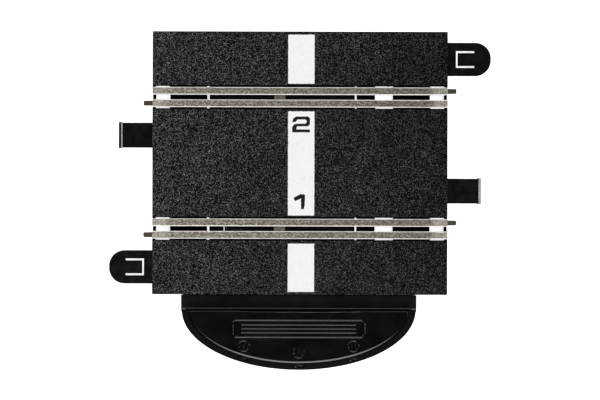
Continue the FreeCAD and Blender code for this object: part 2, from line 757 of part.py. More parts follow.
inner_low = ("cover_half_width - cover_wall", "lid_depth - cover_wall", "cover_bottom - fit_gap")
inner_high = ("cover_half_width - cover_side_draft - cover_wall", "lid_depth - cover_front_draft - cover_wall",
              "lid_inside")
inner_space = block("lid_inner_space", WIDE, in_front_of("-lid_back - lid_bow - cover_wall", "cover_depth * 2"),
                    (BELOW, "cover_height * 2"))
lid_hollow = common("lid_hollow", [oval_solid("lid_inner_oval", "-lid_back", inner_low, inner_high), inner_space])
shelf_hollow = block("shelf_hollow", about("cover_shift", "cover_half_width - cover_wall"),
                     ("-lid_back - lid_bow - cover_wall * 3 / 2", "-half_width + plate_gap"),
                     (BELOW, "shelf_height - cover_wall"))
hollow_cover = cut("hollow_cover", fuse("cover_outer", [lid_body, shelf_block, bead]), [lid_hollow, shelf_hollow])

cover_solids = [hollow_cover]
for place, x, y in COVER_SCREWS:
    cover_solids.append(rod(f"cover_boss_{place}", (x, y, "bay_top"), "z", "lid_inside + cover_wall / 2 - bay_top",
                            "boss_radius"))

def rectangle(half_x, half_y):
    """The corners of a rectangle about the origin."""
    return [(f"-({half_x})", f"-({half_y})"), (half_x, f"-({half_y})"), (half_x, half_y), (f"-({half_x})", half_y)]


# A lip under the shelf's far edge meets the roadway's wall, and closes the gap between them. The wiring passes
# below it.
cover_solids.append(block("shelf_lip", about("cover_shift", "cover_half_width - cover_wall / 2"),
                          ("-half_width - shelf_gap - cover_wall", "-half_width"),
                          ("bay_top + fit_gap", "shelf_height - cover_wall / 2")))


def raised_bar(name, start, along, length, radius):
    """A rounded bar, sunk into the lid's top so that only its crown stands proud."""
    return [rod(name, (*start, f"cover_height + relief - {radius}"), along, length, radius)]


def raised_ring(name, centre, ring_radius, radius, sweep=360, turn=0):
    """A rounded ring, or part of one, sunk into the lid's top in the same way."""
    item = DOC.addObject("Part::Torus", name)
    item.Placement.Rotation = FreeCAD.Rotation(Vector(0, 0, 1), turn)
    item.Angle3 = sweep
    bind(item, Radius1=ring_radius, Radius2=radius)
    bind(item, Placement__Base__x=centre[0], Placement__Base__y=centre[1])
    return bind(item, Placement__Base__z=f"cover_height + relief - {radius}")


BADGE_Y = "-lid_back - badge_inset - badge_width / 2"
half_long = "badge_length / 2 - badge_border"
half_short = "badge_width / 2 - badge_border"
for side, way in (("near", -1), ("far", 1)):
    cover_solids += raised_bar(f"badge_{side}", (f"cover_shift - ({half_long}) + badge_corner",
                                                 f"{BADGE_Y} + {way} * ({half_short})"), "x",
                               f"2 * ({half_long} - badge_corner)", "badge_border")
for side, way in (("left", -1), ("right", 1)):
    cover_solids += raised_bar(f"badge_{side}", (f"cover_shift + {way} * ({half_long})",
                                                 f"{BADGE_Y} - ({half_short}) + badge_corner"), "y",
                               f"2 * ({half_short} - badge_corner)", "badge_border")
for number, (across, down) in enumerate(((1, 1), (-1, 1), (-1, -1), (1, -1))):
    corner = (f"cover_shift + {across} * ({half_long} - badge_corner)",
              f"{BADGE_Y} + {down} * ({half_short} - badge_corner)")
    cover_solids.append(raised_ring(f"badge_corner_{number + 1}", corner, "badge_corner", "badge_border", 90,
                                    90 * number))
for count in (-1, 0, 1):
    cover_solids += raised_bar(f"badge_bar_{count + 2}", (f"cover_shift - ({half_long}) + badge_bar_inset",
                                                          f"{BADGE_Y} + {count} * badge_bar_pitch"), "x",
                               f"2 * ({half_long} - badge_bar_inset)", "badge_bar")

# A ring on the lid stands above each socket: one bar in it for lane 1, two for lane 2, and for the power supply a
# bar that breaks the ring.
ICONS = (
    ("lane_1", "cover_shift - socket_spacing", "-lid_back - icon_side_inset"),
    ("lane_2", "cover_shift + socket_spacing", "-lid_back - icon_side_inset"),
    ("power", "cover_shift", "-lid_back - icon_middle_inset"),
)
for icon, x, y in ICONS:
    if icon == "power":
        cover_solids.append(raised_ring(f"icon_ring_{icon}", (x, y), "icon_radius", "icon_line", 280, 130))
        cover_solids += raised_bar(f"icon_bar_{icon}", (x, y), "y", "icon_radius", "icon_line")
        continue
    cover_solids.append(raised_ring(f"icon_ring_{icon}", (x, y), "icon_radius", "icon_line"))
    offsets = ("0",) if icon == "lane_1" else ("-icon_radius / 3", "icon_radius / 3")
    for number, offset in enumerate(offsets, start=1):
        cover_solids += raised_bar(f"icon_bar_{icon}_{number}", (f"{x} + {offset}", f"{y} - icon_radius / 3"), "y",
                                   "icon_radius * 2 / 3", "icon_line * 3 / 4")

SOCKETS = (("lane_1", "cover_shift - socket_spacing"), ("lane_2", "cover_shift + socket_spacing"))
cover_holes = []
for socket, x in SOCKETS:
    cover_holes.append(rod(f"throttle_hole_{socket}", (x, "-lid_back - cover_depth", "throttle_axis"), "y",
                           "cover_depth - throttle_body_front", "throttle_barrel + nose_play"))
cover_holes.append(rod("power_hole", ("cover_shift", "-lid_back - cover_depth", "power_axis"), "y",
                       "cover_depth - power_body_front", "power_barrel + nose_play"))
for place, x, y in COVER_SCREWS:
    cover_holes.append(rod(f"cover_screw_hole_{place}", (x, y, BELOW), "z",
                           "head_top + screw_length + plate_gap + fit_gap", "screw_radius + screw_play"))
PARTS["power_base_cover"] = cut("power_base_cover", fuse("cover_solids", cover_solids), cover_holes)

# ---------------------------------------------------------------- base plate and screws

plate_oval = ("cover_half_width - cover_wall - 2 * fit_gap", "lid_depth - cover_wall - 2 * fit_gap")
plate_half = common("plate_half_oval", [
    oval_solid("plate_oval", "-lid_back", (*plate_oval, "0"), (*plate_oval, "plate_thickness")),
    block("plate_half_space", WIDE, in_front_of("-lid_back", "cover_depth * 2"), (BELOW, "cover_height")),
])
plate_solids = [
    plate_half,
    block("plate_shelf", about("cover_shift", "cover_half_width - cover_wall - 2 * fit_gap"),
          ("-lid_back - cover_wall", "-half_width - plate_gap"), ("0", "plate_thickness")),
    block("plate_tongue", ("-plate_left", "plate_right"), ("-lid_back", "plate_far"), ("0", "plate_thickness")),
]
SCREWS = DECK_SCREWS + COVER_SCREWS
plate_holes = []
for place, x, y in SCREWS:
    plate_solids.append(rod(f"screw_well_{place}", (x, y, "0"), "z", "bay_top",
                            "screw_head_radius + fit_gap + well_wall"))
    plate_holes.append(rod(f"head_pocket_{place}", (x, y, BELOW), "z", "head_top + plate_gap",
                           "screw_head_radius + fit_gap"))
    plate_holes.append(rod(f"shank_hole_{place}", (x, y, BELOW), "z", "bay_top + plate_gap * 2",
                           "screw_radius + screw_play"))
plate_holes.append(block("plate_slit", about("-plate_slit_at", "plate_slit / 2"), about("-lane", "slot_width"),
                         (BELOW, "plate_thickness + plate_gap")))
for side, way in (("left", -1), ("right", 1)):
    for row, y in (("back", "-board_back - 2 * board_post_radius"), ("front", "2 * board_post_radius - board_front")):
        x = f"cover_shift + {way} * (board_half_length - board_post_inset)"
        plate_solids.append(rod(f"board_post_{side}_{row}", (x, y, "0"), "z", "board_bottom", "board_post_radius"))
PARTS["base_plate"] = cut("base_plate", fuse("plate_solids", plate_solids), plate_holes)


def make_screws(name, places):
    """A group of pan head screws, driven up from below, each with a crossed recess in its head."""
    screws = []
    for place, x, y in places:
        head = rod(f"screw_head_{place}", (x, y, "screw_recess"), "z", "screw_head_height", "screw_head_radius")
        shank = rod(f"screw_shank_{place}", (x, y, "screw_recess"), "z", "screw_head_height + screw_length",
                    "screw_radius")
        arms = [
            block(f"recess_along_{place}", about(x, "screw_radius"), about(y, "screw_radius / 4"),
                  (BELOW, "screw_recess + screw_head_height / 2")),
            block(f"recess_across_{place}", about(x, "screw_radius / 4"), about(y, "screw_radius"),
                  (BELOW, "screw_recess + screw_head_height / 2")),
        ]
        screws.append(cut(f"screw_{place}", fuse(f"screw_blank_{place}", [head, shank]), arms))
    group = DOC.addObject("Part::Compound", name)
    group.Links = screws
    PARTS[name] = group


make_screws("deck_screws", DECK_SCREWS)
make_screws("cover_screws", COVER_SCREWS)

# ---------------------------------------------------------------- circuit board, sockets and wiring

board = new_body("circuit_board", "cover_shift", "-board_back - board_depth / 2")
board_plan = outline(board, "board_plan", "XY_Plane", rectangle("board_half_length", "board_depth / 2"),
                     "board_bottom")
pad(board, "board_slab", board_plan, "board_thickness")
PARTS["circuit_board"] = board

for socket, x in SOCKETS:
    name = f"throttle_socket_{socket}"
    front = "-throttle_front"
    case = block(f"{name}_case", about(x, "throttle_body_width / 2"), (front, f"{front} + throttle_body_length"),
                 ("board_top", "board_top + throttle_body_height"))
    nose = rod(f"{name}_nose", (x, f"{front} - throttle_nose", "throttle_axis"), "y",
               "throttle_nose + throttle_body_length / 2", "throttle_barrel")
    bore = rod(f"{name}_bore", (x, f"{front} - throttle_nose - plate_gap", "throttle_axis"), "y",
               "throttle_bore_depth + plate_gap", "throttle_bore")
    PARTS[name] = cut(name, fuse(f"{name}_blank", [case, nose]), [bore])

front = "-power_front"
inlet_case = block("power_inlet_case", about("cover_shift", "power_body_width / 2"),
                   (front, f"{front} + power_body_length"), ("board_top", "board_top + power_body_height"))
inlet_nose = rod("power_inlet_nose", ("cover_shift", f"{front} - power_nose", "power_axis"), "y",
                 "power_nose + power_body_length / 2", "power_barrel")
inlet_bore = rod("power_inlet_bore", ("cover_shift", f"{front} - power_nose - plate_gap", "power_axis"), "y",
                 "power_bore_depth + plate_gap", "power_bore")
PARTS["power_inlet"] = cut("power_inlet", fuse("power_inlet_blank", [inlet_case, inlet_nose]), [inlet_bore])
PARTS["power_inlet_pin"] = rod("power_inlet_pin",
                               ("cover_shift", f"{front} - power_nose + power_pin_recess", "power_axis"), "y",
                               "power_bore_depth - power_pin_recess", "power_pin")

for socket, way in (("lane_1", -1), ("lane_2", 1)):
    x = f"cover_shift + {way} * choke_length * 3 / 2"
    PARTS[f"choke_{socket}"] = rod(f"choke_{socket}",
                                   (f"{x} - choke_length / 2", "-board_back - 3 * choke_radius",
                                    "board_top + choke_radius"), "x", "choke_length", "choke_radius")
PARTS["suppressor_capacitor"] = block("suppressor_capacitor", about("cover_shift", "capacitor_length / 2"),
                                      about("-board_back - 3 * choke_radius", "capacitor_width / 2"),
                                      ("board_top", "board_top + capacitor_height"))

wiring_back = "-board_back - wiring_start"
bus = [
    block("bus_run", ("-bus_left", "-bus_right"), (f"{wiring_back} - bus_strip", "lane + rail_offset + rail_width"),
          ("plate_thickness", "plate_thickness + bus_strip")),
    block("bus_riser", ("-bus_left", "-bus_right"), (f"{wiring_back} - bus_strip", wiring_back),
          ("plate_thickness", "board_bottom")),
]
PARTS["bus_strip"] = fuse("bus_strip", bus)


def make_lead(name, stops):
    """An insulated lead lying on the base plate, straight between its stops, up to the board at its first one."""
    pieces = [rod(f"{name}_riser", (*stops[0], "lead_height"), "z", "board_bottom - lead_height", "lead_radius")]
    for number, (x, y) in enumerate(stops):
        pieces.append(ball(f"{name}_bend_{number + 1}", (x, y, "lead_height"), "lead_radius"))
    for number, ((x, y), (next_x, next_y)) in enumerate(zip(stops, stops[1:])):
        along = "y" if x == next_x else "x"
        length = f"({next_y}) - ({y})" if along == "y" else f"({next_x}) - ({x})"
        start = (x, y, "lead_height")
        if value_of(length) < 0:
            start = (next_x, next_y, "lead_height")
            length = f"-({length})"
        pieces.append(rod(f"{name}_run_{number + 1}", start, along, length, "lead_radius"))
    PARTS[name] = fuse(name, pieces)


near_rail = "rail_offset + rail_width / 2 - rail_strip / 2"
make_lead("feed_lead_lane_1", [
    ("-lane_1_lead_start", wiring_back),
    ("-lane_1_lead_start", "-half_width + 2 * rib_pitch_across / 3"),
    ("-lead_at", "-half_width + 2 * rib_pitch_across / 3"),
    ("-lead_at", f"-lane - ({near_rail})"),
])
make_lead("feed_lead_lane_2", [
    ("-lane_2_lead_start", wiring_back),
    ("-lane_2_lead_start", "-lane - slot_width / 8"),
    ("-lead_at", "-lane - slot_width / 8"),
    ("-lead_at", f"lane - ({near_rail})"),
])

# ---------------------------------------------------------------- checks and files

DOC.recompute()
for item in DOC.Objects:
    if "Invalid" in item.State or "Error" in item.State:
        raise RuntimeError(f"{item.Label} did not build: {item.State}")
for name, item in PARTS.items():
    if item.Shape.isNull() or not item.Shape.isValid() or not item.Shape.Solids:
        raise RuntimeError(f"{name} has no valid solid")

os.makedirs("parts", exist_ok=True)
for name, item in PARTS.items():
    item.Shape.exportStep(f"parts/{name}.step")
    print(name, len(item.Shape.Solids), round(item.Shape.Volume, 1))
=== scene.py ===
"""The looks of a straight, two-lane slot car power track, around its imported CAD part. Metres throughout."""

import math

import bpy
import numpy as np
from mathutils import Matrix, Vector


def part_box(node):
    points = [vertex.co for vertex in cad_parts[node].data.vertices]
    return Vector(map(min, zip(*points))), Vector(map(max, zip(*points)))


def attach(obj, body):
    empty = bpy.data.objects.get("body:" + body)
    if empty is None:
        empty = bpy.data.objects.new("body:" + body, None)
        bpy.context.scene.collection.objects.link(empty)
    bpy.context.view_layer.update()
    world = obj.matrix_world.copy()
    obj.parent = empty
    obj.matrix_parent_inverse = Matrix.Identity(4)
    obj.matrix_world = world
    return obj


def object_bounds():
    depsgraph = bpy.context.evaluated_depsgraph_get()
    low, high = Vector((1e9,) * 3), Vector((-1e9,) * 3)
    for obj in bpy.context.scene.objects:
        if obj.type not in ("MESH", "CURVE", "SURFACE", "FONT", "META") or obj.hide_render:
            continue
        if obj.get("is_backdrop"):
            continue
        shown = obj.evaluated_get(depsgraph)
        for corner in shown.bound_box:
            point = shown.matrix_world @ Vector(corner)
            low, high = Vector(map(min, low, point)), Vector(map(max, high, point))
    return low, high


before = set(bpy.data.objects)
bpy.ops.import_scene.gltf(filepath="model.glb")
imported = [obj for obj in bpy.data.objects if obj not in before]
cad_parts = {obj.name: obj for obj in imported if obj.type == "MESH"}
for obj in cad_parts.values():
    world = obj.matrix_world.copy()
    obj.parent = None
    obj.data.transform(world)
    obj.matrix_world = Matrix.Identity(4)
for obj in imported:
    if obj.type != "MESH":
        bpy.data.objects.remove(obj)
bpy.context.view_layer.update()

# ---------------------------------------------------------------- studio: floor, camera and lamps
# A plain white sweep with the track lying flat on it, seen from straight above through a long lens. Four soft
# lamps stand round it, 34 to 50 degrees up, so that the black mouldings stay black and only their edges and
# ridges catch the light.

MM = 0.001
VIEW_WIDTH = 355.7 * MM        # what the camera takes in, left to right, at the roadway's height
VIEW_CENTRE = (0.1 * MM, -21.9 * MM)
VIEW_ROLL = math.radians(0.15)
LENS_MM = 150.0
SENSOR_MM = 36.0
FLOOR_HALF = 4.0               # half of the sweep's side
FLOOR_DROP = 0.2 * MM          # the sweep lies this far below the track, so that their faces never coincide


def linear(colour):
    """A colour from its sRGB hex value.

    Each channel c becomes ((c + 0.055) / 1.055) ** 2.4, or c / 12.92 if it is dark.
    """
    parts = [int(colour[place:place + 2], 16) / 255 for place in (1, 3, 5)]
    return (*[c / 12.92 if c <= 0.04045 else ((c + 0.055) / 1.055) ** 2.4 for c in parts], 1.0)


def add(tree, kind, settings=None, links=None):
    """Adds one node. Settings are its properties or input values, and links are input: (node, output).

    An input goes by its name, or by its number where several share a name.
    """
    made = tree.nodes.new(kind)
    for name, value in (settings or {}).items():
        if isinstance(name, int) or name in made.inputs:
            made.inputs[name].default_value = value
        else:
            setattr(made, name, value)
    for name, (source, output) in (links or {}).items():
        tree.links.new(source.outputs[output], made.inputs[name])
    return made


def material(name, **values):
    """A new material, its node tree and its shader. Uniform values go on the shader's own sockets."""
    made = bpy.data.materials.new(name)
    made.use_nodes = True
    shader = made.node_tree.nodes["Principled BSDF"]
    for socket, value in values.items():
        shader.inputs[socket.replace("_", " ")].default_value = value
    return made, made.node_tree, shader


def ramp(tree, source, output, stops):
    """A colour ramp over a node's output. Stops are (place, sRGB hex) from the lowest place up."""
    made = add(tree, "ShaderNodeValToRGB", None, {"Fac": (source, output)})
    marks = made.color_ramp.elements
    while len(marks) < len(stops):
        marks.new(0.5)
    for mark, (place, colour) in zip(marks, stops):
        mark.position = place
        mark.color = linear(colour)
    return made


def finish_nodes(names, made):
    """Gives CAD nodes their material."""
    for name in names:
        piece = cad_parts[name]
        piece.data.materials.clear()
        piece.data.materials.append(made)


def lamp(name, azimuth, elevation, distance, size, watts):
    """A rectangular soft lamp that faces the track. Its bearing and its height are in degrees."""
    light = bpy.data.lights.new(name, "AREA")
    light.shape = "RECTANGLE"
    light.size, light.size_y = size
    light.energy = watts
    made = bpy.data.objects.new(name, light)
    level = math.cos(math.radians(elevation)) * distance
    bearing = math.radians(azimuth)
    made.location = (math.cos(bearing) * level, math.sin(bearing) * level,
                     math.sin(math.radians(elevation)) * distance)
    made.rotation_euler = (-made.location).to_track_quat("-Z", "Y").to_euler()
    bpy.context.scene.collection.objects.link(made)


half_length, _, roadway_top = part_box("roadway_deck")[1]
camera = bpy.data.objects.new("camera", bpy.data.cameras.new("camera"))
bpy.context.scene.collection.objects.link(camera)
camera.data.lens = LENS_MM
camera.data.sensor_width = SENSOR_MM
camera.data.clip_end = 20.0
camera.location = (*VIEW_CENTRE, roadway_top + VIEW_WIDTH * LENS_MM / SENSOR_MM)
camera.rotation_euler = (0.0, 0.0, VIEW_ROLL)
bpy.context.scene.camera = camera

sweep, tree, shader = material("white_paper_sweep", Roughness=0.9, Specular_IOR_Level=0.1,
                               Emission_Strength=0.9)
shader.inputs["Base Color"].default_value = linear("#f4f4f4")
shader.inputs["Emission Color"].default_value = linear("#ffffff")
floor_mesh = bpy.data.meshes.new("floor")
floor_corners = [(FLOOR_HALF * x, FLOOR_HALF * y, 0) for x, y in ((-1, -1), (1, -1), (1, 1), (-1, 1))]
floor_mesh.from_pydata(floor_corners, [], [(0, 1, 2, 3)])
floor_mesh.materials.append(sweep)
floor = bpy.data.objects.new("floor", floor_mesh)
floor.location.z = -FLOOR_DROP
floor.visible_glossy = False
bpy.context.scene.collection.objects.link(floor)
floor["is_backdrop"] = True

# Each lamp's name, bearing and height in degrees, distance, size and watts.
for settings in (("lamp_left", 150, 34, 1.5, (0.8, 0.8), 6),
                 ("lamp_right", 2, 38, 1.6, (0.45, 0.45), 7.5),
                 ("lamp_front", -90, 50, 1.6, (0.9, 1.2), 16),
                 ("lamp_back", 90, 36, 1.6, (1.5, 0.5), 9)):
    lamp(*settings)
world = bpy.data.worlds.new("studio")
world.use_nodes = True
world.node_tree.nodes["Background"].inputs["Color"].default_value = linear("#ffffff")
world.node_tree.nodes["Background"].inputs["Strength"].default_value = 0.02
bpy.context.scene.world = world
bpy.context.scene.view_settings.view_transform = "Standard"

# ---------------------------------------------------------------- roadway
# The roadway is one injection moulding in black polystyrene. Its top has an asphalt grain etched into the
# mould, and its walls, slots and underside are plain.

GRIT = 0.34 * MM               # one grit of the etched top; a little over its real size, so that it shows
LANE = 39.0 * MM               # from the middle of the roadway to the middle of a slot
PLAIN_BORDER = 7.1 * MM        # the etching stops this far from there, just clear of the rails
CLEAR = 0.1 * MM               # keeps a mask off the face that it ends at

# A Mix node repeats its sockets' names for each type of data, so these are their numbers.
MIX_FACTOR, FLOAT_A, FLOAT_B, COLOUR_A, COLOUR_B = 0, 2, 3, 6, 7
MIXED_FLOAT, MIXED_COLOUR = 0, 2


def painted_light_falloff(tree, place, left, right):
    """Painted shade: a factor that runs evenly from the roadway's left end to its right end, which is darker.
    """
    along = add(tree, "ShaderNodeSeparateXYZ", None, {"Vector": (place, "Object")})
    return add(tree, "ShaderNodeMapRange",
               {"From Min": -half_length, "From Max": half_length, "To Min": left, "To Max": right},
               {"Value": (along, "X")})


def shaded(tree, colour, factor):
    """A colour times a factor."""
    colour_output = "Color" if "Color" in colour.outputs else MIXED_COLOUR
    return add(tree, "ShaderNodeMix", {"data_type": "RGBA", "blend_type": "MULTIPLY", MIX_FACTOR: 1.0},
               {COLOUR_A: (colour, colour_output), COLOUR_B: (factor, "Result")})


# Each grit takes the light by itself: most stay black, and one in five has a painted grey glint in its colour.
asphalt, tree, shader = material("etched_black_polystyrene", Roughness=0.32)
place = add(tree, "ShaderNodeTexCoord")
grits = add(tree, "ShaderNodeTexVoronoi", {"Scale": 1 / GRIT}, {"Vector": (place, "Object")})
level = add(tree, "ShaderNodeSeparateColor", None, {"Color": (grits, "Color")})
# Painted highlight: the brightest grits are coloured grey to light grey, as glints.
painted_glint = ramp(tree, level, "Red", [(0.0, "#020202"), (0.45, "#080808"), (0.8, "#262627"), (1.0, "#828284")])
patchy = add(tree, "ShaderNodeTexNoise", {"Scale": 1 / (22 * MM), "Detail": 2.0},
             {"Vector": (place, "Object")})
patch_depth = add(tree, "ShaderNodeMapRange",
                  {"From Min": 0.3, "From Max": 0.7, "To Min": 0.8, "To Max": 1.2},
                  {"Value": (patchy, "Fac")})
# Painted shade: the grits' colour is made darker towards the roadway's right end, as if lit from the left.
grain_with_painted_light = shaded(tree, shaded(tree, painted_glint, painted_light_falloff(tree, place, left=1.2, right=0.48)), patch_depth)
axes = add(tree, "ShaderNodeSeparateXYZ", None, {"Vector": (place, "Object")})
on_top = add(tree, "ShaderNodeMath", {"operation": "GREATER_THAN", 1: roadway_top - CLEAR}, {0: (axes, "Z")})
across = add(tree, "ShaderNodeMath", {"operation": "ABSOLUTE"}, {0: (axes, "Y")})
clear_of_rails = add(tree, "ShaderNodeMath", {"operation": "COMPARE", 1: LANE, 2: PLAIN_BORDER},
                     {0: (across, "Value")})
etched = add(tree, "ShaderNodeMath", {"operation": "SUBTRACT", "use_clamp": True},
             {0: (on_top, "Value"), 1: (clear_of_rails, "Value")})
skin = add(tree, "ShaderNodeMix", {"data_type": "RGBA", COLOUR_A: linear("#020202")},
           {MIX_FACTOR: (etched, "Value"), COLOUR_B: (grain_with_painted_light, MIXED_COLOUR)})
tree.links.new(skin.outputs[MIXED_COLOUR], shader.inputs["Base Color"])
sheen = add(tree, "ShaderNodeMapRange", {"From Min": 0.25, "To Min": 0.02, "To Max": 0.3},
            {"Value": (level, "Red")})
gloss = add(tree, "ShaderNodeMix", {"data_type": "FLOAT", FLOAT_A: 0.03},
            {MIX_FACTOR: (etched, "Value"), FLOAT_B: (sheen, "Result")})
tree.links.new(gloss.outputs[MIXED_FLOAT], shader.inputs["Specular IOR Level"])
relief = add(tree, "ShaderNodeMath", {"operation": "MULTIPLY"}, {0: (level, "Green"), 1: (etched, "Value")})
bump = add(tree, "ShaderNodeBump", {"Strength": 0.5, "Distance": 0.08 * MM}, {"Height": (relief, "Value")})
tree.links.new(bump.outputs["Normal"], shader.inputs["Normal"])
finish_nodes(["roadway_deck"], asphalt)

# ---------------------------------------------------------------- start line and lane numbers
# A white line is pad printed across both lanes in one dense coat, and a black number over it tells each lane.
# The ink creeps a little between the grits, so its edges are ragged.

INK = 0.03 * MM                # one coat

# The line's two edges along X, each of its runs along Y, all clear of the rails, and the digits' corners in mm.
LINE_LEFT, LINE_RIGHT = -7.1 * MM, 8.55 * MM
LINE_RUNS = ((47.0 * MM, 76.1 * MM), (-31.1 * MM, 30.65 * MM), (-76.4 * MM, -47.8 * MM))
TWO = [(-4.65, 24.3), (-4.1, 26.3), (-2.4, 27.6), (4.8, 27.6), (5.9, 26.4), (5.9, 23.0), (4.8, 21.8),
       (-1.6, 21.8), (-2.1, 21.0), (-2.1, 19.9), (5.9, 19.9), (5.9, 18.2), (-4.65, 18.2), (-4.65, 21.4),
       (-3.3, 23.0), (-2.2, 23.35), (3.1, 23.35), (3.9, 24.1), (3.9, 25.2), (3.3, 25.8), (-1.6, 25.8),
       (-2.7, 24.3)]
ONE = [(-3.6, -20.5), (0.1, -18.5), (2.7, -18.5), (3.05, -19.2), (2.9, -24.8), (2.4, -27.3), (0.7, -27.3),
       (0.65, -21.0), (-2.7, -22.6), (-3.45, -21.6)]


def ragged(corners, seed, step=0.5 * MM, creep=0.12 * MM):
    """A closed outline through the corners: a point every step, pushed sideways by up to the creep."""
    corners = np.asarray(corners, float)
    draws = np.random.default_rng(seed)
    sides = []
    for start, end in zip(corners, np.roll(corners, -1, axis=0)):
        length = math.dist(start, end)
        count = max(1, round(length / step))
        share = np.arange(count)[:, None] / count
        side = np.array([start[1] - end[1], end[0] - start[0]]) / length
        sides.append(start + (end - start) * share + side * draws.uniform(-creep, creep, (count, 1)))
    return np.vstack(sides)


def new_piece(name, points, faces, made):
    """Puts a mesh of this script's own into the scene, on the track's body."""
    mesh = bpy.data.meshes.new(name)
    mesh.from_pydata(points, [], faces)
    mesh.materials.append(made)
    piece = bpy.data.objects.new(name, mesh)
    bpy.context.scene.collection.objects.link(piece)
    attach(piece, "track")


def ink_coat(name, outline, low, high, made):
    """A closed slab: the outline carried straight up from the low level to the high one, capped at both."""
    count = len(outline)
    rings = np.vstack([np.column_stack([outline, np.full(count, level)]) for level in (low, high)])
    here = np.arange(count)
    after = (here + 1) % count
    walls = np.column_stack([here, after, after + count, here + count])
    if np.sum(outline[:, 0] * np.roll(outline[:, 1], -1) - np.roll(outline[:, 0], -1) * outline[:, 1]) < 0:
        walls, here = walls[:, ::-1], here[::-1]
    faces = [*walls.tolist(), (here + count).tolist(), here[::-1].tolist()]
    new_piece(name, rings.tolist(), faces, made)


# White ink lies over the grits: dense and matt, a shade greyer in the hollows that it only just fills.
white_ink, tree, shader = material("white_pad_print_ink", Roughness=0.65, Specular_IOR_Level=0.3)
place = add(tree, "ShaderNodeTexCoord")
grits = add(tree, "ShaderNodeTexNoise", {"Scale": 1 / (2 * GRIT), "Detail": 3.0, "Roughness": 0.7},
            {"Vector": (place, "Object")})
tone = ramp(tree, grits, "Fac", [(0.26, "#cfcfce"), (0.4, "#f8f8f7"), (0.7, "#fdfdfc")])
tree.links.new(tone.outputs["Color"], shader.inputs["Base Color"])
bump = add(tree, "ShaderNodeBump", {"Strength": 0.4, "Distance": 0.05 * MM}, {"Height": (grits, "Fac")})
tree.links.new(bump.outputs["Normal"], shader.inputs["Normal"])

# Black ink over the white: matt, and patchy where the pad left less of it.
black_ink, tree, shader = material("black_pad_print_ink", Roughness=0.6, Specular_IOR_Level=0.15)
place = add(tree, "ShaderNodeTexCoord")
grits = add(tree, "ShaderNodeTexNoise", {"Scale": 1 / (2 * GRIT), "Detail": 2.0},
            {"Vector": (place, "Object")})
tone = ramp(tree, grits, "Fac", [(0.35, "#060606"), (0.65, "#1c1c1d")])
tree.links.new(tone.outputs["Color"], shader.inputs["Base Color"])
bump = add(tree, "ShaderNodeBump", {"Strength": 0.4, "Distance": 0.05 * MM}, {"Height": (grits, "Fac")})
tree.links.new(bump.outputs["Normal"], shader.inputs["Normal"])

for number, (low, high) in enumerate(LINE_RUNS, start=1):
    corners = [(LINE_LEFT, low), (LINE_RIGHT, low), (LINE_RIGHT, high), (LINE_LEFT, high)]
    ink_coat(f"start_line_{number}", ragged(corners, number), roadway_top, roadway_top + INK, white_ink)
for lane, corners in ((2, TWO), (1, ONE)):
    outline = ragged(np.asarray(corners) * MM, 10 + lane, creep=0.06 * MM)
    ink_coat(f"lane_number_{lane}", outline, roadway_top + INK, roadway_top + 2 * INK, black_ink)

# ---------------------------------------------------------------- rails
# Each rail is folded from tinned steel strip and pressed into its channel. Pickup braids rub its flat top
# dull and mottled. Its rolled edges are painted near white, a painted highlight. The last centimetre at each
# end is paler, and the joining tongues are painted darker, a painted shade for where they dip.

RAIL = 3.7 * MM                # from the middle of a slot to the middle of a rail
RAIL_HALF = 2.3 * MM           # half of a rail's width
RAIL_ENDS = 77 * MM, 81 * MM   # from the roadway's middle; the paler end comes in between these

# Tin on steel: a soft metal, warm grey, with the default IOR. The rubbed top is rougher than the rolled edge,
# which is painted near white and made less metallic, a painted highlight that is pale from every side.
tinned, tree, shader = material("rubbed_tin_plate", Metallic=1.0)
place = add(tree, "ShaderNodeTexCoord")
drawn = add(tree, "ShaderNodeMapping", {"Scale": (0.75, 1.0, 1.0)}, {"Vector": (place, "Object")})
mottle = add(tree, "ShaderNodeTexNoise", {"Scale": 1 / (1.1 * MM), "Detail": 5.0, "Roughness": 0.85},
             {"Vector": (drawn, "Vector")})
speck = add(tree, "ShaderNodeTexNoise", {"Scale": 1 / (0.7 * MM), "Detail": 1.0},
            {"Vector": (place, "Object")})
rubbed = ramp(tree, mottle, "Fac", [(0.4, "#645f54"), (0.5, "#9a9588"), (0.6, "#d6d1c5")])
# Painted shade: the rails' colour is made darker towards the right end, as if lit from the left.
rubbed = shaded(tree, rubbed, painted_light_falloff(tree, place, left=1.05, right=0.66))
axes = add(tree, "ShaderNodeSeparateXYZ", None, {"Vector": (place, "Object")})
off_centre = (axes, "Y")
for operation, amount in (("ABSOLUTE", 0.0), ("SUBTRACT", LANE), ("ABSOLUTE", 0.0), ("SUBTRACT", RAIL)):
    off_centre = (add(tree, "ShaderNodeMath", {"operation": operation, 1: amount}, {0: off_centre}), "Value")
from_slot_side = add(tree, "ShaderNodeMapRange", {"From Min": -RAIL_HALF, "From Max": RAIL_HALF},
                     {"Value": off_centre})
# A mask along both rolled edges: it makes them glossier, and carries their painted highlight.
edge_gloss_and_painted_highlight = ramp(tree, from_slot_side, "Result",
            [(0.07, "#ffffff"), (0.12, "#000000"), (0.89, "#000000"), (0.93, "#ffffff")])
from_middle = add(tree, "ShaderNodeMath", {"operation": "ABSOLUTE"}, {0: (axes, "X")})
near_end = add(tree, "ShaderNodeMapRange", {"From Min": RAIL_ENDS[0], "From Max": RAIL_ENDS[1]},
               {"Value": (from_middle, "Value")})
speckled = ramp(tree, speck, "Fac", [(0.4, "#a29d90"), (0.6, "#f3efe4")])
end_share = add(tree, "ShaderNodeMath", {"operation": "MULTIPLY", 1: 0.6}, {0: (near_end, "Result")})
body = add(tree, "ShaderNodeMix", {"data_type": "RGBA"},
           {MIX_FACTOR: (end_share, "Value"), COLOUR_A: (rubbed, MIXED_COLOUR),
            COLOUR_B: (speckled, "Color")})
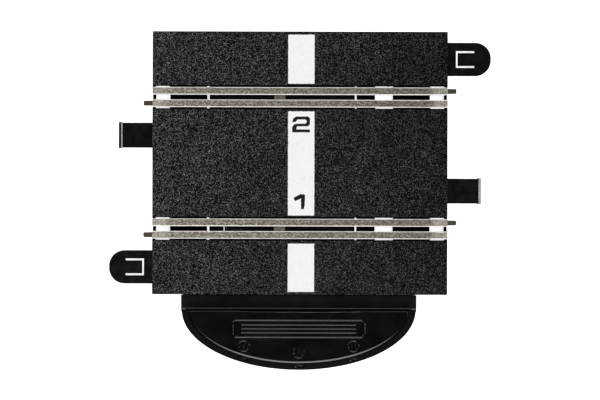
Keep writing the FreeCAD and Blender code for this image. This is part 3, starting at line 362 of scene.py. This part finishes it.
# Painted highlight: the rolled edges' colour is mixed towards near white.
painted_edge_highlight = add(tree, "ShaderNodeMix", {"data_type": "RGBA", COLOUR_B: linear("#fffdf8")},
             {MIX_FACTOR: (edge_gloss_and_painted_highlight, "Color"), COLOUR_A: (body, MIXED_COLOUR)})
# Painted shade: past the roadway's ends the joining tongues are coloured a darker grey, for where they dip.
painted_tongue_shade = add(tree, "ShaderNodeMath", {"operation": "GREATER_THAN", 1: half_length + CLEAR},
               {0: (from_middle, "Value")})
strip = add(tree, "ShaderNodeMix", {"data_type": "RGBA", COLOUR_B: linear("#5c564c")},
            {MIX_FACTOR: (painted_tongue_shade, "Value"), COLOUR_A: (painted_edge_highlight, MIXED_COLOUR)})
tree.links.new(strip.outputs[MIXED_COLOUR], shader.inputs["Base Color"])
dull = add(tree, "ShaderNodeMapRange", {"From Min": 0.3, "From Max": 0.7, "To Min": 0.45, "To Max": 0.6},
           {"Value": (mottle, "Fac")})
gloss = add(tree, "ShaderNodeMix", {"data_type": "FLOAT", FLOAT_B: 0.36},
            {MIX_FACTOR: (edge_gloss_and_painted_highlight, "Color"), FLOAT_A: (dull, "Result")})
tree.links.new(gloss.outputs[MIXED_FLOAT], shader.inputs["Roughness"])
painted_highlight_metallic = add(tree, "ShaderNodeMapRange", {"To Min": 1.0, "To Max": 0.45}, {"Value": (edge_gloss_and_painted_highlight, "Color")})
tree.links.new(painted_highlight_metallic.outputs["Result"], shader.inputs["Metallic"])
finish_nodes([f"lane_{lane}_{side}_rail" for lane in (1, 2) for side in ("near", "far")], tinned)

# ---------------------------------------------------------------- bus strip
# A bare strip of tinned copper that joins the lanes under the roadway. It shows at the bottom of lane 2's
# slot.

# Hot-dipped tin: pale and faintly yellow under a film of flux, which hides most of its metal look, with soft
# pools.
dipped, tree, shader = material("hot_dipped_tin", Metallic=0.15)
place = add(tree, "ShaderNodeTexCoord")
pools = add(tree, "ShaderNodeTexNoise", {"Scale": 1 / (1.5 * MM), "Detail": 3.0},
            {"Vector": (place, "Object")})
tone = ramp(tree, pools, "Fac", [(0.35, "#c0b39b"), (0.65, "#f3ead6")])
tree.links.new(tone.outputs["Color"], shader.inputs["Base Color"])
dull = add(tree, "ShaderNodeMapRange", {"To Min": 0.4, "To Max": 0.7}, {"Value": (pools, "Fac")})
tree.links.new(dull.outputs["Result"], shader.inputs["Roughness"])
finish_nodes(["bus_strip"], dipped)

# ---------------------------------------------------------------- end connectors
# Tabs, spring tongues and release lugs are smooth black polystyrene, moulded in one with the roadway. A tongue
# dips as two pieces of track slide together, and a lug is pushed aside to part them.

# Polished mould faces: deep black, IOR 1.59, with a haze where the melt flowed, and fine rubbing from being
# pushed together.
smooth, tree, shader = material("smooth_black_polystyrene", IOR=1.59)
place = add(tree, "ShaderNodeTexCoord")
haze = add(tree, "ShaderNodeTexNoise", {"Scale": 1 / (5 * MM), "Detail": 4.0, "Roughness": 0.6},
           {"Vector": (place, "Object")})
tone = ramp(tree, haze, "Fac", [(0.3, "#050505"), (0.7, "#0d0d0e")])
tree.links.new(tone.outputs["Color"], shader.inputs["Base Color"])
shine = add(tree, "ShaderNodeMapRange", {"From Min": 0.3, "From Max": 0.7, "To Min": 0.18, "To Max": 0.28},
            {"Value": (haze, "Fac")})
tree.links.new(shine.outputs["Result"], shader.inputs["Roughness"])
rubs = add(tree, "ShaderNodeTexNoise", {"Scale": 1 / (0.8 * MM), "Detail": 2.0},
           {"Vector": (place, "Object")})
bump = add(tree, "ShaderNodeBump", {"Strength": 0.1, "Distance": 0.02 * MM}, {"Height": (rubs, "Fac")})
tree.links.new(bump.outputs["Normal"], shader.inputs["Normal"])
finish_nodes([f"{part}_{end}" for end in ("right", "left")
              for part in ("latch_tab", "latch_tongue", "hook_tab", "release_lug")], smooth)

# The tongue isn't a loose part: a web of the same plastic along its root joins it to its tab, and in the real
# track twists as the tongue bends; here it is a fixed box on the track's body. The web meets the tongue only
# where its root is round about the line that it turns on, and is level with its top.
TONGUE_ROOT = (102.77 * MM, 61.9 * MM)   # the right tongue's; the left one's is turned half way round
WEB_REACH = (0.0, 0.95 * MM)             # outwards from there
WEB_HALF_LENGTH = 3.8 * MM
WEB_LEVELS = (3.15 * MM, 4.21 * MM)      # its bottom and its top


def hinge_web(name, side, x, y, made):
    """A closed box: corners at x plus either reach, y plus or minus a half length, and either level."""
    steps = np.array([(i, j, k) for i in (0, 1) for j in (-1, 1) for k in (-1, 1)], float)
    reach = np.where(steps[:, 0] == (0 if side > 0 else 1), WEB_REACH[0], WEB_REACH[1])
    level = np.where(steps[:, 2] < 0, *WEB_LEVELS)
    corners = np.column_stack([side * (x + reach), side * y + WEB_HALF_LENGTH * steps[:, 1], level])
    sides = [(0, 1, 3, 2), (4, 6, 7, 5), (0, 4, 5, 1), (2, 3, 7, 6), (0, 2, 6, 4), (1, 5, 7, 3)]
    new_piece(name, corners.tolist(), sides, made)


for end, side in (("right", 1), ("left", -1)):
    hinge_web(f"latch_web_{end}", side, *TONGUE_ROOT, smooth)

# ---------------------------------------------------------------- power base cover
# A bow-fronted moulding in glossier black. Raised rings mark what plugs in below them, and the flat shelf
# behind the lid is coloured a little greyer than the lid.

SHELF_LINE = -87.25 * MM       # the shelf lies behind this line, and the lid in front of it

# ABS from a polished mould: IOR 1.54, satin gloss, with a fine waviness that softens its reflections.
satin, tree, shader = material("satin_black_abs", IOR=1.54)
place = add(tree, "ShaderNodeTexCoord")
haze = add(tree, "ShaderNodeTexNoise", {"Scale": 1 / (12 * MM), "Detail": 4.0}, {"Vector": (place, "Object")})
lid_tone = ramp(tree, haze, "Fac", [(0.3, "#050505"), (0.7, "#090909")])
shelf_tone = ramp(tree, haze, "Fac", [(0.3, "#101011"), (0.7, "#171718")])
across = add(tree, "ShaderNodeSeparateXYZ", None, {"Vector": (place, "Object")})
on_shelf = add(tree, "ShaderNodeMath", {"operation": "GREATER_THAN", 1: SHELF_LINE}, {0: (across, "Y")})
tone = add(tree, "ShaderNodeMix", {"data_type": "RGBA"},
           {MIX_FACTOR: (on_shelf, "Value"), COLOUR_A: (lid_tone, "Color"), COLOUR_B: (shelf_tone, "Color")})
tree.links.new(tone.outputs[MIXED_COLOUR], shader.inputs["Base Color"])
shine = add(tree, "ShaderNodeMapRange", {"From Min": 0.3, "From Max": 0.7, "To Min": 0.13, "To Max": 0.19},
            {"Value": (haze, "Fac")})
tree.links.new(shine.outputs["Result"], shader.inputs["Roughness"])
ripple = add(tree, "ShaderNodeTexNoise", {"Scale": 1 / (1.2 * MM), "Detail": 2.0},
             {"Vector": (place, "Object")})
bump = add(tree, "ShaderNodeBump", {"Strength": 0.08, "Distance": 0.03 * MM}, {"Height": (ripple, "Fac")})
tree.links.new(bump.outputs["Normal"], shader.inputs["Normal"])
finish_nodes(["power_base_cover"], satin)

# ---------------------------------------------------------------- base plate and screws
# A plain black polystyrene plate closes the wiring bay from below. Six cross-headed screws in zinc plated steel
# hold it, four into the roadway and two into the cover.

# Spark-eroded mould face: dull black, with a fine even pebble.
pebbled, tree, shader = material("pebbled_black_polystyrene", Specular_IOR_Level=0.3)
place = add(tree, "ShaderNodeTexCoord")
pebble = add(tree, "ShaderNodeTexNoise", {"Scale": 1 / (0.6 * MM), "Detail": 2.0},
             {"Vector": (place, "Object")})
tone = ramp(tree, pebble, "Fac", [(0.35, "#050505"), (0.65, "#0d0d0d")])
tree.links.new(tone.outputs["Color"], shader.inputs["Base Color"])
dull = add(tree, "ShaderNodeMapRange", {"To Min": 0.45, "To Max": 0.6}, {"Value": (pebble, "Fac")})
tree.links.new(dull.outputs["Result"], shader.inputs["Roughness"])
bump = add(tree, "ShaderNodeBump", {"Strength": 0.4, "Distance": 0.05 * MM}, {"Height": (pebble, "Fac")})
tree.links.new(bump.outputs["Normal"], shader.inputs["Normal"])
finish_nodes(["base_plate"], pebbled)

# Bright zinc with a faint blue passivation, and crystals a few tenths of a millimetre across.
zinc, tree, shader = material("blue_passivated_zinc", Metallic=1.0)
place = add(tree, "ShaderNodeTexCoord")
crystals = add(tree, "ShaderNodeTexVoronoi", {"Scale": 1 / (0.35 * MM)}, {"Vector": (place, "Object")})
level = add(tree, "ShaderNodeSeparateColor", None, {"Color": (crystals, "Color")})
tone = ramp(tree, level, "Red", [(0.0, "#8f959b"), (1.0, "#c3c7c9")])
tree.links.new(tone.outputs["Color"], shader.inputs["Base Color"])
dull = add(tree, "ShaderNodeMapRange", {"To Min": 0.3, "To Max": 0.45}, {"Value": (level, "Green")})
tree.links.new(dull.outputs["Result"], shader.inputs["Roughness"])
finish_nodes(["deck_screws", "cover_screws"], zinc)

# ---------------------------------------------------------------- sockets and power inlet
# Two throttle jacks and a barrel inlet stand on the board, with their noses just inside holes in the cover's
# front. Their bodies are moulded nylon, and the inlet's pin is plated brass.

# Glass-filled nylon: near black and dull, with short fibres just under the surface.
nylon, tree, shader = material("glass_filled_black_nylon", IOR=1.53)
place = add(tree, "ShaderNodeTexCoord")
fibres = add(tree, "ShaderNodeTexNoise", {"Scale": 1 / (0.5 * MM), "Detail": 3.0, "Distortion": 1.5},
             {"Vector": (place, "Object")})
tone = ramp(tree, fibres, "Fac", [(0.35, "#040404"), (0.7, "#0e0e0f")])
tree.links.new(tone.outputs["Color"], shader.inputs["Base Color"])
dull = add(tree, "ShaderNodeMapRange", {"To Min": 0.45, "To Max": 0.65}, {"Value": (fibres, "Fac")})
tree.links.new(dull.outputs["Result"], shader.inputs["Roughness"])
finish_nodes(["throttle_socket_lane_1", "throttle_socket_lane_2", "power_inlet"], nylon)

# Bright nickel on a turned brass pin, with turning rings about 0.25 mm apart along it.
nickel, tree, shader = material("turned_nickel_plate", Metallic=1.0)
place = add(tree, "ShaderNodeTexCoord")
rings = add(tree, "ShaderNodeTexWave", {"wave_type": "BANDS", "bands_direction": "Y", "Scale": 1 / (0.8 * MM),
                                        "Distortion": 1.0}, {"Vector": (place, "Object")})
tone = ramp(tree, rings, "Fac", [(0.0, "#a59d8c"), (1.0, "#cdc6b6")])
tree.links.new(tone.outputs["Color"], shader.inputs["Base Color"])
dull = add(tree, "ShaderNodeMapRange", {"To Min": 0.28, "To Max": 0.42}, {"Value": (rings, "Fac")})
tree.links.new(dull.outputs["Result"], shader.inputs["Roughness"])
finish_nodes(["power_inlet_pin"], nickel)

# ---------------------------------------------------------------- circuit board and its parts
# A single-sided board under the lid carries the sockets, two wound chokes and a suppressor capacitor. It is
# brown phenolic laminate, and its parts are soldered to it.

# Phenolic paper laminate: brown, with paper fibres pressed into it.
laminate, tree, shader = material("phenolic_paper_laminate", IOR=1.6, Roughness=0.45)
place = add(tree, "ShaderNodeTexCoord")
pressed = add(tree, "ShaderNodeMapping", {"Scale": (0.3, 1.0, 1.0)}, {"Vector": (place, "Object")})
paper = add(tree, "ShaderNodeTexNoise", {"Scale": 1 / (0.8 * MM), "Detail": 4.0, "Distortion": 0.8},
            {"Vector": (pressed, "Vector")})
tone = ramp(tree, paper, "Fac", [(0.3, "#5c3f1f"), (0.7, "#8a6432")])
tree.links.new(tone.outputs["Color"], shader.inputs["Base Color"])
finish_nodes(["circuit_board"], laminate)

WIRE = 0.4 * MM                # one turn of a choke's winding
WAVE = math.pi / 10            # a Wave texture's bands are this far apart at scale 1

# Enamelled copper wire wound side by side on a ferrite rod.
wound, tree, shader = material("enamelled_copper_winding", Metallic=0.6, Roughness=0.35)
place = add(tree, "ShaderNodeTexCoord")
turns = add(tree, "ShaderNodeTexWave", {"wave_type": "BANDS", "bands_direction": "X",
                                        "Scale": WAVE / WIRE}, {"Vector": (place, "Object")})
tone = ramp(tree, turns, "Fac", [(0.1, "#2a1208"), (0.6, "#9c5426")])
tree.links.new(tone.outputs["Color"], shader.inputs["Base Color"])
bump = add(tree, "ShaderNodeBump", {"Strength": 0.6, "Distance": 0.15 * MM}, {"Height": (turns, "Fac")})
tree.links.new(bump.outputs["Normal"], shader.inputs["Normal"])
finish_nodes(["choke_lane_1", "choke_lane_2"], wound)

# Dipped epoxy: glossy orange-brown, thinner and lighter where it ran off the edges.
epoxy, tree, shader = material("dipped_epoxy", IOR=1.55, Roughness=0.2)
place = add(tree, "ShaderNodeTexCoord")
runs = add(tree, "ShaderNodeTexNoise", {"Scale": 1 / (1.5 * MM), "Detail": 1.0},
           {"Vector": (place, "Object")})
tone = ramp(tree, runs, "Fac", [(0.3, "#a9581a"), (0.7, "#cf7f33")])
tree.links.new(tone.outputs["Color"], shader.inputs["Base Color"])
bump = add(tree, "ShaderNodeBump", {"Strength": 0.3, "Distance": 0.1 * MM}, {"Height": (runs, "Fac")})
tree.links.new(bump.outputs["Normal"], shader.inputs["Normal"])
finish_nodes(["suppressor_capacitor"], epoxy)

# ---------------------------------------------------------------- feed leads
# Two brown leads run from the board to the rails. The one to lane 2 shows at the bottom of lane 1's slot. Each
# is stranded wire in soft PVC.

# Soft PVC: brown and waxy, scuffed paler along its length.
pvc, tree, shader = material("brown_pvc_insulation", IOR=1.53)
place = add(tree, "ShaderNodeTexCoord")
scuff = add(tree, "ShaderNodeTexNoise", {"Scale": 1 / (0.9 * MM), "Detail": 3.0},
            {"Vector": (place, "Object")})
tone = ramp(tree, scuff, "Fac", [(0.35, "#1d140f"), (0.65, "#4a382c")])
tree.links.new(tone.outputs["Color"], shader.inputs["Base Color"])
dull = add(tree, "ShaderNodeMapRange", {"To Min": 0.35, "To Max": 0.55}, {"Value": (scuff, "Fac")})
tree.links.new(dull.outputs["Result"], shader.inputs["Roughness"])
finish_nodes(["feed_lead_lane_1", "feed_lead_lane_2"], pvc)

# ---------------------------------------------------------------- the box round what is shown, and the end

low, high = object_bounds()
